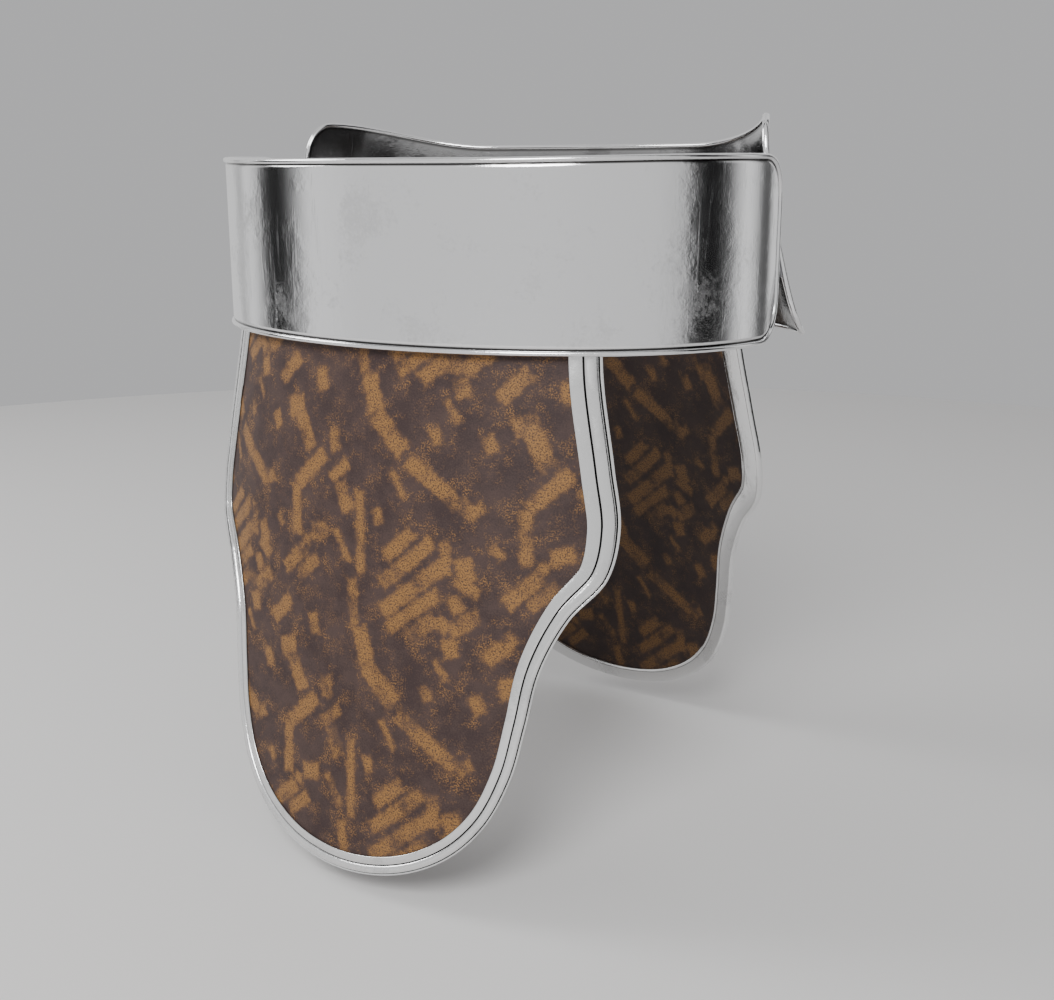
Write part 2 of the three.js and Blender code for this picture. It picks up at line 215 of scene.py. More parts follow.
BELT_STEEL = steel("polished_steel", (0.8, 0.8, 0.81), smudge_size=26.0, coverage=-0.04,
                   clear_roughness=0.14, hazy_roughness=0.26)
FRAME_STEEL = steel("frame_steel", (0.8, 0.8, 0.8), smudge_size=40.0, coverage=0.0,
                    clear_roughness=0.16, hazy_roughness=0.3)
PIN_STEEL = steel("pin_steel", (0.6, 0.6, 0.61), smudge_size=60.0, coverage=0.05,
                  clear_roughness=0.3, hazy_roughness=0.45)
print("steel finishes:", BELT_STEEL.name, FRAME_STEEL.name, PIN_STEEL.name)

# %% [markdown]
# ## The belt's curves
# In plan the belt is an oval, wider than it is deep, like a waist. A plate is measured along the oval
# from its middle. The back plate's ends spring in at the top and out at the foot, which a smooth step
# near each end gives. Working out points with arrays keeps the plates smooth at little cost.

# %% Plan of the belt plates
WAIST_HALF_WIDTH = 171.0
WAIST_HALF_DEPTH = 126.5
WALL = 1.6
BELT_FOOT = -47.5
FLARE_FROM = 0.52
FLARE_TO = 0.95
FRONT_PLATE = dict(name="front", facing=-1, end_y=18.0, top=47.5, rise=2.4, rise_from=0.2, rise_to=0.9,
                   corner=25.0, flare_linear=0.0, flare_square=0.0)
BACK_PLATE = dict(name="back", facing=1, end_y=22.0, top=58.0, rise=13.6, rise_from=0.37, rise_to=0.89,
                  corner=22.0, flare_linear=-0.242, flare_square=0.00124)
ARC_STEPS = 4000


def smoothstep(low, high, value):
    """Rises from 0 to 1 between two values, level at both ends."""
    share = np.clip((value - low) / (high - low), 0.0, 1.0)
    return share * share * (3.0 - 2.0 * share)


def measured_arc(half_width, half_depth, start, end):
    """Part of an oval as lengths along it, with the place and the heading at each."""
    turn = np.linspace(start, end, ARC_STEPS)
    x, y = half_width * np.cos(turn), half_depth * np.sin(turn)
    length = np.concatenate([[0.0], np.cumsum(np.hypot(np.diff(x), np.diff(y)))])
    heading = np.stack([-half_width * np.sin(turn), half_depth * np.cos(turn)], axis=1)
    heading /= np.linalg.norm(heading, axis=1)[:, None]
    return dict(length=length, x=x, y=y, way_x=heading[:, 0], way_y=heading[:, 1], total=length[-1])


def along_arc(arc, distance):
    """The place and the heading at a distance along a measured arc."""
    return [np.interp(distance, arc["length"], arc[key]) for key in ("x", "y", "way_x", "way_y")]


def plate_plan(plate):
    """The part of the belt's oval that a plate follows."""
    overhang = math.asin(plate["end_y"] / WAIST_HALF_DEPTH)
    if plate["facing"] < 0:
        return measured_arc(WAIST_HALF_WIDTH, WAIST_HALF_DEPTH, math.pi - overhang, 2 * math.pi + overhang)
    return measured_arc(WAIST_HALF_WIDTH, WAIST_HALF_DEPTH, overhang, math.pi - overhang)


def plate_points(plate, plan, along, z, height):
    """Points on a plate in millimetres: distance from its middle, level, and height over its outer face."""
    half = plan["total"] / 2
    along, z, height = np.broadcast_arrays(along, z, height)
    x, y, way_x, way_y = along_arc(plan, along + half)
    sprung = smoothstep(FLARE_FROM, FLARE_TO, np.abs(along) / half)
    out = height + (plate["flare_linear"] * z + plate["flare_square"] * z * z) * sprung
    return np.stack([x + way_y * out, y - way_x * out, z], axis=-1)


for plate in (FRONT_PLATE, BACK_PLATE):
    print(plate["name"], "plate is", round(plate_plan(plate)["total"]), "mm long round the waist")

# %% [markdown]
# ## Belt plates
# Each plate is a thin sheet with rounded ends. Rows of points run from its top edge to its foot, a
# shallow groove follows the edge inside the rolled rim, and the same rows set in by the wall close the
# back. Every row is denser than the eye can tell, so the polish runs round without a break.

# %% Build a plate as a closed sheet
PLATE_STEPS = 150
CORNER_STEPS = 14
FIELD_ROWS = 14
MERGE_WITHIN = 0.001
SHARP_ANGLE = math.radians(40)
# Each ring of a face: distance in from the edge, height over the outer face, and painted shade (dark in the groove
# inside the rim, and over the inner face)
SHEET_EDGE = ((0.5, -0.8, 0.0), (0.6, -0.1, 0.0), (2.7, -0.1, 0.9), (3.1, -0.5, 1.0), (3.6, -0.4, 0.9),
              (4.2, 0.0, 0.0), (5.4, 0.0, 0.0))
# The inner face is darkened all over as painted shade.
INNER_FACE = ((0.6, -1.5, 0.0), (2.8, -WALL, 0.9), (3.4, -WALL, 0.9), (4.4, -WALL, 0.62), (5.4, -WALL, 0.62))


def edge_rows(plate, plan, inset):
    """Distances along the plate with the level of its top edge and of its foot, drawn in by an inset."""
    half = plan["total"] / 2
    straight = half - plate["corner"]
    radius = plate["corner"] - inset
    turn = np.linspace(0.0, math.pi / 2, CORNER_STEPS + 1)[1:]
    side = np.linspace(-straight, straight, PLATE_STEPS + 1)
    reach = straight + radius * np.sin(turn)
    along = np.concatenate([-reach[::-1], side, reach])
    drop = np.zeros(len(along))
    drop[-CORNER_STEPS:] = radius * (1.0 - np.cos(turn))
    drop[:CORNER_STEPS] = drop[-CORNER_STEPS:][::-1]
    share = np.minimum(np.abs(along), straight) / half
    top = plate["top"] + plate["rise"] * smoothstep(plate["rise_from"], plate["rise_to"], share) - inset - drop
    return along, top, BELT_FOOT + inset + drop


def make_mesh(name, points, faces, grime=None):
    """A mesh from points in millimetres; painted shade, where given, is kept at each point for the finish."""
    mesh = bpy.data.meshes.new(name)
    mesh.from_pydata((np.asarray(points) * MM).tolist(), [], faces)
    if grime is not None:
        mesh.attributes.new("grime", "FLOAT", "POINT").data.foreach_set("value", grime)
    return mesh


def make_object(name, mesh, material):
    """A smooth object from a mesh, with merged corners and outward faces."""
    shape = bmesh.new()
    shape.from_mesh(mesh)
    bmesh.ops.remove_doubles(shape, verts=shape.verts, dist=MERGE_WITHIN * MM)
    bmesh.ops.dissolve_degenerate(shape, edges=shape.edges, dist=MERGE_WITHIN * MM)
    bmesh.ops.recalc_face_normals(shape, faces=shape.faces)
    shape.to_mesh(mesh)
    shape.free()
    mesh.shade_smooth()
    mesh.set_sharp_from_angle(angle=SHARP_ANGLE)
    piece = bpy.data.objects.new(name, mesh)
    mesh.materials.clear()
    mesh.materials.append(material)
    bpy.context.collection.objects.link(piece)
    return piece


def plate_sheet(plate):
    """The outer face from the edge inwards, and the inner face, joined where they share the edge."""
    plan = plate_plan(plate)
    points, faces, grime = [], [], []

    def add_ring(inset, height, shade_amount):
        along, top, foot = edge_rows(plate, plan, inset)
        levels = np.linspace(0.0, 1.0, FIELD_ROWS + 1)[1:-1]
        right = [plate_points(plate, plan, along[-1], top[-1] + (foot[-1] - top[-1]) * share, height)
                 for share in levels]
        left = [plate_points(plate, plan, along[0], foot[0] + (top[0] - foot[0]) * share, height)
                for share in levels]
        ring = np.concatenate([plate_points(plate, plan, along, top, height), np.array(right),
                               plate_points(plate, plan, along, foot, height)[::-1], np.array(left)])
        first = len(points)
        points.extend(ring)
        grime.extend([shade_amount] * len(ring))
        return list(range(first, first + len(ring)))

    def join(one, two, closed):
        count = len(one) if closed else len(one) - 1
        for i in range(count):
            following = (i + 1) % len(one)
            faces.append((one[i], one[following], two[following], two[i]))

    def fill(inset, height, shade_amount, ring):
        along, top, foot = edge_rows(plate, plan, inset)
        count = len(along)
        last = ring[:count]
        right = ring[count:count + FIELD_ROWS - 1]
        feet = ring[count + FIELD_ROWS - 1:2 * count + FIELD_ROWS - 1][::-1]
        left = ring[2 * count + FIELD_ROWS - 1:][::-1]
        for row in range(1, FIELD_ROWS):
            share = row / FIELD_ROWS
            inside = plate_points(plate, plan, along[1:-1], (top + (foot - top) * share)[1:-1], height)
            first = len(points)
            points.extend(inside)
            grime.extend([shade_amount] * len(inside))
            current = [left[row - 1], *range(first, first + count - 2), right[row - 1]]
            join(last, current, False)
            last = current
        join(last, feet, False)

    first_ring = None
    for edge in (SHEET_EDGE, INNER_FACE):
        ring = first_ring
        for inset, height, shade_amount in edge:
            following = add_ring(inset, height, shade_amount)
            if ring is None:
                first_ring = following
            else:
                join(ring, following, True)
            ring = following
        fill(*edge[-1], ring)
    name = plate["name"] + "_plate_sheet"
    return make_object(name, make_mesh(name, points, faces, grime), BELT_STEEL)


plate_sheets = {plate["name"]: plate_sheet(plate) for plate in (FRONT_PLATE, BACK_PLATE)}
for piece in plate_sheets.values():
    print(piece.name, len(piece.data.polygons), "faces")

# %% [markdown]
# ## A section that follows a path
# The belt's rolled rim and the tassets' stepped moulding are both one section carried along a path, as
# a smith would draw a strip through a die. A Geometry Nodes tree does that for both: the path carries
# the way inwards, the way outwards and a width at each point, and the section says how far in and how
# high each of its corners lies. The section stays upright on a curved sheet, which a plain sweep can't
# promise.

# %% Geometry Nodes tree for a section along a path
def section_tree():
    """Sweeps a section along a path, then sets each corner by the path's own directions and width."""
    tree = bpy.data.node_groups.new("section_along_path", "GeometryNodeTree")
    tree.interface.new_socket("Path", in_out="INPUT", socket_type="NodeSocketGeometry")
    tree.interface.new_socket("Section", in_out="INPUT", socket_type="NodeSocketObject")
    tree.interface.new_socket("Steel", in_out="INPUT", socket_type="NodeSocketMaterial")
    tree.interface.new_socket("Moulding", in_out="OUTPUT", socket_type="NodeSocketGeometry")
    entry = tree.nodes.new("NodeGroupInput")
    leave = tree.nodes.new("NodeGroupOutput")
    section = add_node(tree, "GeometryNodeObjectInfo", {"Object": entry.outputs["Section"]})
    path = add_node(tree, "GeometryNodeMeshToCurve", {"Mesh": entry.outputs["Path"]})
    outline = add_node(tree, "GeometryNodeMeshToCurve", {"Mesh": section.outputs["Geometry"]})
    swept = add_node(tree, "GeometryNodeCurveToMesh",
                     {"Curve": path.outputs[0], "Profile Curve": outline.outputs[0], "Fill Caps": True})

    def stored(name, kind):
        node = add_node(tree, "GeometryNodeInputNamedAttribute", data_type=kind)
        node.inputs["Name"].default_value = name
        return node.outputs[0]

    inset = calculate(tree, "MULTIPLY_ADD", stored("share", "FLOAT"), stored("width", "FLOAT"))
    tree.links.new(stored("extra", "FLOAT"), inset.node.inputs[2])
    inwards = add_node(tree, "ShaderNodeVectorMath", {0: stored("inwards", "FLOAT_VECTOR")}, operation="SCALE")
    tree.links.new(inset, inwards.inputs["Scale"])
    upwards = add_node(tree, "ShaderNodeVectorMath", {0: stored("outwards", "FLOAT_VECTOR")}, operation="SCALE")
    tree.links.new(stored("height", "FLOAT"), upwards.inputs["Scale"])
    reach = add_node(tree, "ShaderNodeVectorMath", {0: inwards.outputs[0], 1: upwards.outputs[0]}, operation="ADD")
    place = add_node(tree, "ShaderNodeVectorMath",
                     {0: stored("spot", "FLOAT_VECTOR"), 1: reach.outputs[0]}, operation="ADD")
    shaped = add_node(tree, "GeometryNodeSetPosition",
                      {"Geometry": swept.outputs[0], "Position": place.outputs[0]})
    real = add_node(tree, "GeometryNodeRealizeInstances", {0: shaped.outputs[0]})
    finished = add_node(tree, "GeometryNodeSetMaterial",
                        {"Geometry": real.outputs[0], "Material": entry.outputs["Steel"]})
    tree.links.new(finished.outputs[0], leave.inputs[0])
    return tree


SECTION_TREE = section_tree()
print("section tree:", len(SECTION_TREE.nodes), "nodes")


# %% Carry a section along a path
def wire(name, points, closed, **attributes):
    """A chain of edges with one value or vector of each named attribute at every point."""
    mesh = bpy.data.meshes.new(name)
    count = len(points)
    edges = [(i, i + 1) for i in range(count - 1)]
    if closed:
        edges.append((count - 1, 0))
    mesh.from_pydata(np.asarray(points).tolist(), edges, [])
    for label, values in attributes.items():
        values = np.asarray(values, dtype=np.float32)
        kind, key = ("FLOAT_VECTOR", "vector") if values.ndim == 2 else ("FLOAT", "value")
        mesh.attributes.new(label, kind, "POINT").data.foreach_set(key, values.ravel())
    piece = bpy.data.objects.new(name, mesh)
    bpy.context.collection.objects.link(piece)
    return piece


def set_input(modifier, tree, label, value):
    """A modifier's input is named by its socket's identifier."""
    socket = next(item for item in tree.interface.items_tree if item.name == label and item.in_out == "INPUT")
    modifier[socket.identifier] = value


def baked_mesh(piece):
    """The evaluated shape as a plain mesh, with the helper object taken away."""
    bpy.context.view_layer.update()
    graph = bpy.context.evaluated_depsgraph_get()
    mesh = bpy.data.meshes.new_from_object(piece.evaluated_get(graph), depsgraph=graph)
    bpy.data.objects.remove(piece)
    return mesh


def carried_section(name, path, section, material):
    """The mesh of a section carried along a path, still in the path's own units."""
    modifier = path.modifiers.new("section", "NODES")
    modifier.node_group = SECTION_TREE
    set_input(modifier, SECTION_TREE, "Section", section)
    set_input(modifier, SECTION_TREE, "Steel", material)
    mesh = baked_mesh(path)
    bpy.data.objects.remove(section)
    mesh.name = name
    return mesh


def mesh_points(mesh):
    """A mesh's points as rows of an array."""
    points = np.zeros(3 * len(mesh.vertices))
    mesh.vertices.foreach_get("co", points)
    return points.reshape(-1, 3)


def move_points(mesh, points):
    """Sets a mesh's points from millimetres."""
    mesh.vertices.foreach_set("co", (points * MM).ravel())
    mesh.update()


print("sections can follow a path")

# %% [markdown]
# ## Rolled rim of the belt
# Each plate's edge is rolled over into a thin bead that shows on both faces. Its path is the sheet's own
# edge, all the way round the plate, and its section is a small oval.

# %% Rolled rims
RIM_MIDDLE = 1.5
RIM_HALF_WIDTH = 1.5
RIM_HALF_HEIGHT = 1.9
RIM_LEVEL = -0.6
RIM_SIDES = 14
RIM_END_STEPS = 12


def rolled_rim(plate):
    """The bead round a plate, from a loop that runs inside its edge."""
    plan = plate_plan(plate)

    def edge_loop(inset, height):
        along, top, foot = edge_rows(plate, plan, inset)
        levels = np.linspace(0.0, 1.0, RIM_END_STEPS + 1)[1:-1]
        along = np.concatenate([along, np.full(len(levels), along[-1]),
                                along[::-1], np.full(len(levels), along[0])])
        z = np.concatenate([top, top[-1] + (foot[-1] - top[-1]) * levels, foot[::-1],
                            foot[0] + (top[0] - foot[0]) * levels])
        return plate_points(plate, plan, along, z, height)

    spot = edge_loop(RIM_MIDDLE, RIM_LEVEL)
    outwards = edge_loop(RIM_MIDDLE, RIM_LEVEL + 1.0) - spot
    inwards = edge_loop(RIM_MIDDLE + 1.0, RIM_LEVEL) - spot
    path = wire("rim_path", spot, True, spot=spot, inwards=inwards, outwards=outwards,
                width=np.zeros(len(spot)))
    turn = np.linspace(0.0, 2 * math.pi, RIM_SIDES, endpoint=False)
    oval = np.stack([RIM_HALF_WIDTH * np.cos(turn), RIM_HALF_HEIGHT * np.sin(turn), 0 * turn], axis=1)
    section = wire("rim_section", oval, True, share=0 * turn, extra=oval[:, 0], height=oval[:, 1])
    name = plate["name"] + "_plate_rim"
    mesh = carried_section(name, path, section, BELT_STEEL)
    move_points(mesh, mesh_points(mesh))
    return make_object(name, mesh, BELT_STEEL)


plate_rims = {plate["name"]: rolled_rim(plate) for plate in (FRONT_PLATE, BACK_PLATE)}
for piece in plate_rims.values():
    print(piece.name, len(piece.data.polygons), "faces")

# %% [markdown]
# ## The tassets' sheet and outline
# A tasset is cut flat and then bent to the oval, and it flares outwards towards its tip. The outline
# is charted as a drop below the belt and a half width, with the frame's width beside it, and a smooth
# curve goes through those points. Bending is the last step, so everything on a tasset is drawn flat first.

# %% Outline and bend of a tasset
PANEL_WALL = 2.0
PANEL_INSET = 4.4
FLARE_SHARE = 0.3
FLARE_DROP = 250.0
CENTRE_SHIFT = 6.0
GAP = 0.3
SLOT_DEPTH = 4.0
OUTLINE = (
    (-20, 126, 17), (10, 129, 17), (55, 138, 17), (85, 143, 17), (110, 138, 15.8), (130, 120, 13.6),
    (156, 107, 12.2), (185, 101, 11.3), (212, 95, 10.8), (238, 83, 10.4), (258, 64, 10.4), (272, 36, 10),
    (277.5, 0, 10),
)
OUTLINE_STEPS = 240
CURVE_STEPS = 40
SHEET_PLAN = measured_arc(WAIST_HALF_WIDTH - PANEL_INSET, WAIST_HALF_DEPTH - PANEL_INSET,
                          -math.pi / 2, math.pi / 2)


def bend(facing, across, drop, height):
    """Takes flat points of a tasset to their places on the flared sheet, in millimetres."""
    spread = 1.0 + FLARE_SHARE * np.maximum(0.0, drop) / FLARE_DROP
    x, y, way_x, way_y = along_arc(SHEET_PLAN, np.abs(across) / spread)
    shift = CENTRE_SHIFT * smoothstep(0.0, FLARE_DROP, drop)
    return np.stack([np.sign(across) * (x * spread + way_y * height) + shift,
                     -facing * (y * spread - way_x * height), BELT_FOOT - drop], axis=-1)


def smooth_curve(knots, steps):
    """A curve through every knot that keeps its speed in step with the knots' spacing."""
    knots = np.asarray(knots, dtype=float)
    padded = np.vstack([2 * knots[0] - knots[1], knots, 2 * knots[-1] - knots[-2]])
    pieces = []
    for before, start, end, after in zip(padded, padded[1:], padded[2:], padded[3:]):
        spans = [max(1e-4, np.linalg.norm(b - a) ** 0.5)
                 for a, b in ((before, start), (start, end), (end, after))]
        lead = ((start - before) / spans[0] - (end - before) / (spans[0] + spans[1]) + (end - start) / spans[1])
        trail = ((end - start) / spans[1] - (after - start) / (spans[1] + spans[2]) + (after - end) / spans[2])
        lead, trail = lead * spans[1], trail * spans[1]
        t = np.linspace(0.0, 1.0, steps, endpoint=False)[:, None]
        cubic = 2 * start - 2 * end + lead + trail
        square = -3 * start + 3 * end - 2 * lead - trail
        pieces.append(start + lead * t + square * t ** 2 + cubic * t ** 3)
    return np.vstack([*pieces, knots[-1:]])


def outline_half():
    """Evenly spaced places on half of the outline, from the tucked top to the tip, and the way inwards."""
    right = [(half, drop, width) for drop, half, width in OUTLINE]
    left = [(-half, drop, width) for half, drop, width in right[-3:-1][::-1]]
    curve = smooth_curve(right + left, CURVE_STEPS)
    curve = curve[:CURVE_STEPS * (len(OUTLINE) - 1) + 1]
    length = np.concatenate([[0.0], np.cumsum(np.hypot(*np.diff(curve[:, :2], axis=0).T))])
    even = np.linspace(0.0, length[-1], OUTLINE_STEPS + 1)
    across, drop, width = (np.interp(even, length, curve[:, k]) for k in range(3))
    way = np.stack([np.gradient(across), np.gradient(drop)], axis=1)
    way /= np.linalg.norm(way, axis=1)[:, None]
    way[0], way[-1] = (0.0, 1.0), (-1.0, 0.0)
    across[-1] = 0.0
    return dict(across=across, drop=drop, width=width, in_across=-way[:, 1], in_drop=way[:, 0])


HALF = outline_half()
print("outline of", OUTLINE_STEPS, "steps, tip at", round(HALF["drop"][-1], 1), "mm below the belt")

# %% [markdown]
# ## Frame moulding
# The frame is a stepped strip: a flat inner band, a narrow groove, a raised rounded band, another groove
# and a thin bright lip. The strip narrows towards the tip, so the section's corners are given as shares
# of its width. The slot in its inner side holds the leather.

# %% Frame mouldings
BACK_LEVEL = -3.3
# Each corner: share of the frame's width in from the lip, extra distance, height, and painted shade, dark in the
# grooves and in the slot
MOULDING = (
    (1, 0, GAP, 0.8), (1, 0, 0.8, 0.5), (1, -0.2, 1.05, 0), (1, -0.7, 1.2, 0), (0.64, 0, 1.2, 0),
    (0.6, 0, 1.1, 0), (0.585, 0, 0.2, 0.9), (0.565, 0, -0.1, 0.9), (0.55, 0, 0.2, 0.9), (0.535, 0, 1.3, 0),
    (0.5, 0, 1.75, 0), (0.42, 0, 2.05, 0), (0.3, 0, 2.2, 0), (0.21, 0, 2.05, 0), (0.165, 0, 1.7, 0),
    (0.135, 0, 1.2, 0), (0.125, 0, 0.1, 0.9), (0.11, 0, -0.1, 0.9), (0.095, 0, 0.1, 0.9), (0.085, 0, 0.8, 0),
    (0.04, 0, 1.05, 0), (0.01, 0, 0.9, 0), (0, 0, 0.5, 0), (0, 0, -2.8, 0), (0, 0.25, -3.15, 0),
    (0, 0.8, BACK_LEVEL, 0), (1, -2.7, BACK_LEVEL, 0), (1, -2.4, BACK_LEVEL, 0.9), (1, -1.9, -3.9, 0),
    (1, -1.1, -4.2, 0), (1, -0.4, -3.9, 0), (1, 0, -3.2, 0), (1, 0, -PANEL_WALL - GAP, 0.6),
    (1, -SLOT_DEPTH, -PANEL_WALL - GAP, 0), (1, -SLOT_DEPTH, GAP, 0),
)


def mirrored_path():
    """The whole outline from the left top round the tip to the right top, with the way inwards."""
    across = np.concatenate([-HALF["across"][:-1], HALF["across"][::-1]])
    in_across = np.concatenate([-HALF["in_across"][:-1], HALF["in_across"][::-1]])
    drop, width, in_drop = (np.concatenate([HALF[key][:-1], HALF[key][::-1]])
                            for key in ("drop", "width", "in_drop"))
    return across, drop, width, in_across, in_drop


def tasset_frame(name, facing):
    """The moulding carried round a flat tasset and then bent with it."""
    across, drop, width, in_across, in_drop = mirrored_path()
    level = np.zeros(len(across))
    spot = np.stack([across, drop, level], axis=1)
    inwards = np.stack([in_across, in_drop, level], axis=1)
    outwards = np.stack([level, level, level + 1.0], axis=1)
    path = wire("frame_path", spot, False, spot=spot, inwards=inwards, outwards=outwards, width=width)
    share, extra, height, grime = np.array(MOULDING, dtype=float).T
    corners = np.stack([share * HALF["width"][0] + extra, height, 0 * share], axis=1)
    section = wire("frame_section", corners, True, share=share, extra=extra, height=height, grime=grime)
    mesh = carried_section(name + "_frame_moulding", path, section, FRAME_STEEL)
    move_points(mesh, bend(facing, *mesh_points(mesh).T))
    return make_object(name + "_frame_moulding", mesh, FRAME_STEEL)


frame_mouldings = {plate["name"]: tasset_frame(plate["name"], plate["facing"])
                   for plate in (FRONT_PLATE, BACK_PLATE)}
for piece in frame_mouldings.values():
    print(piece.name, len(piece.data.polygons), "faces")

# %% [markdown]
# ## Printed leather
# The panels are dark purple-brown leather with a gold print of bars, hooks and struts, rubbed away in
# patches. The print is charted for one repeat, as bars from one point to another. Each point of the
# leather keeps its flat distance to the nearest bar, which carries the print round the bend, and noise
# in the finish frays the edges and wears the gold through.

# %% Chart of the print
REPEAT_ACROSS = 141.0
REPEAT_DOWN = 131.5
CHART_LEFT = -60.0
PRINT_SPREAD = 1.25
# Each bar: start across and drop, end across and drop, and width
PRINT_BARS = (
    (30, 55, 66, 79, 7), (66, 80, 74, 75, 5.5), (4, 13, 10, 32, 8), (9, 33, 28, 51, 9),
    (-24, 57, -45, 76, 7), (-46, 76, -44, 104, 6), (-19, 70, -7, 60, 5.5), (-55, 36, -42, 33, 9),
    (-45, 38, -35, 56, 8), (1, 74, 4, 117, 4.5), (-2, 120, 1, 145, 5), (-13, 71, -6, 86, 7),
    (19, 106, 35, 91, 6), (17, 120, 47, 95, 6.5), (18, 135, 55, 105, 7), (22, 143, 51, 121, 6),
    (35, 146, 50, 134, 6.5), (50, 134, 58, 140, 6), (58, 140, 74, 130, 7), (53, 94, 55, 112, 5.5),
    (63, 102, 67, 114, 8), (61, 113, 73, 120, 6), (-54, 124, -37, 109, 7), (-42, 125, -27, 113, 6),
    (-27, 94, -25, 103, 10), (-36, 108, -35, 102, 5), (78, 22, 93, 8, 7), (57, 12, 60, 22, 7),
    (50, 24, 58, 34, 3), (20, 60, 29, 74, 3), (-30, 12, -27, 24, 6), (-18, 44, -16, 56, 6),
    (44, 38, 48, 46, 5), (73, 40, 77, 49, 6), (12, 81, 15, 90, 5), (58, 122, 63, 130, 6),
    (-14, 96, -4, 112, 3.5), (79, 95, 84, 101, 4),
)
print(len(PRINT_BARS), "bars in a repeat of", REPEAT_ACROSS, "by", REPEAT_DOWN, "mm")


# %% Distance to the nearest bar
def print_distance(across, drop):
    """How far each flat place lies outside the nearest bar, in millimetres; it is below zero inside."""
    nearest = np.full(len(across), 1000.0)
    folded_across = (across - CHART_LEFT) % REPEAT_ACROSS + CHART_LEFT
    folded_drop = drop % REPEAT_DOWN
    for x0, y0, x1, y1, width in PRINT_BARS:
        reach = math.hypot(x1 - x0, y1 - y0)
        way_x, way_y = (x1 - x0) / reach, (y1 - y0) / reach
        for step_across in (-REPEAT_ACROSS, 0.0, REPEAT_ACROSS):
            for step_down in (-REPEAT_DOWN, 0.0, REPEAT_DOWN):
                x = folded_across + step_across - (x0 + x1) / 2
                y = folded_drop + step_down - (y0 + y1) / 2
                beyond_end = np.abs(x * way_x + y * way_y) - reach / 2
                beyond_side = np.abs(y * way_x - x * way_y) - PRINT_SPREAD * width / 2
                nearest = np.minimum(nearest, np.maximum(beyond_end, beyond_side))
    return nearest


bar_middle = print_distance(np.array([48.0]), np.array([67.0]))[0]
print("the middle of the first bar lies", round(float(-bar_middle), 1), "mm deep")


# %% Print as a node group
GRAIN_SCALE = 1150.0
BROAD_FRAY_REACH = 7.0
FINE_FRAY_REACH = 11.0
DUST_REACH = 12.0


def worn_print_group():
    """How much gold is left at a place on the leather, from the distance to a bar and from wear."""
    group = bpy.data.node_groups.new("worn_print", "ShaderNodeTree")
    group.interface.new_socket("Flat place", in_out="INPUT", socket_type="NodeSocketVector")
    group.interface.new_socket("Distance", in_out="INPUT", socket_type="NodeSocketFloat")
    group.interface.new_socket("Gold", in_out="OUTPUT", socket_type="NodeSocketFloat")
    entry = group.nodes.new("NodeGroupInput")
    leave = group.nodes.new("NodeGroupOutput")

    def noise(scale, detail, roughness):
        return add_node(group, "ShaderNodeTexNoise", {"Vector": entry.outputs[0], "Scale": scale, "Detail": detail,
                                                      "Roughness": roughness}).outputs[0]

    ragged = calculate(group, "SUBTRACT", noise(240.0, 5.0, 0.75), 0.5)
    broad_fray = calculate(group, "MULTIPLY", ragged, BROAD_FRAY_REACH)
    grain = noise(GRAIN_SCALE, 2.0, 0.55)
    fine_fray = calculate(group, "MULTIPLY", calculate(group, "SUBTRACT", grain, 0.5), FINE_FRAY_REACH)
    edge = calculate(group, "ADD", calculate(group, "ADD", entry.outputs[1], broad_fray), fine_fray)
    solid = remap(group, edge, -0.8, 0.8, 1.0, 0.0)
    near = remap(group, entry.outputs[1], 0.0, DUST_REACH, 1.0, 0.3)
    rubbed = remap(group, noise(42.0, 7.0, 0.7), 0.36, 0.52, 0.2, 1.0)
    dusted = calculate(group, "MULTIPLY", remap(group, noise(85.0, 8.0, 0.75), 0.47, 0.64, 0.0, 0.9), near)
    dust = calculate(group, "MULTIPLY", dusted, remap(group, grain, 0.47, 0.58, 0.0, 1.0))
    speckle = remap(group, grain, 0.38, 0.56, 0.15, 1.0)
    printed = calculate(group, "MULTIPLY", calculate(group, "MULTIPLY", solid, rubbed), speckle)
    gold = calculate(group, "MAXIMUM", printed, dust)
    group.links.new(gold, leave.inputs[0])
    return group


WORN_PRINT = worn_print_group()
print("print group:", len(WORN_PRINT.nodes), "nodes")


# %% Leather finish
LEATHER_TONE = (0.034, 0.019, 0.0185)
LEATHER_WORN = (0.066, 0.04, 0.034)
GOLD_TONE = (0.3, 0.148, 0.044)
OUTSIDE_SHADE = 1.0
# The leather's inner faces are painted in shade at this share of its tone.
INSIDE_PAINTED_SHADE = 0.5
PATCH_SCALE = 45.0
GOLD_RELIEF = 0.6
LEATHER_BUMP = 0.25
LEATHER_BUMP_DEPTH = 0.0003
LEATHER_SHINE = 0.35


def shaded(tone, shade):
    """A tone darkened by a share, with full cover."""
    return tuple(shade * channel for channel in tone) + (1.0,)


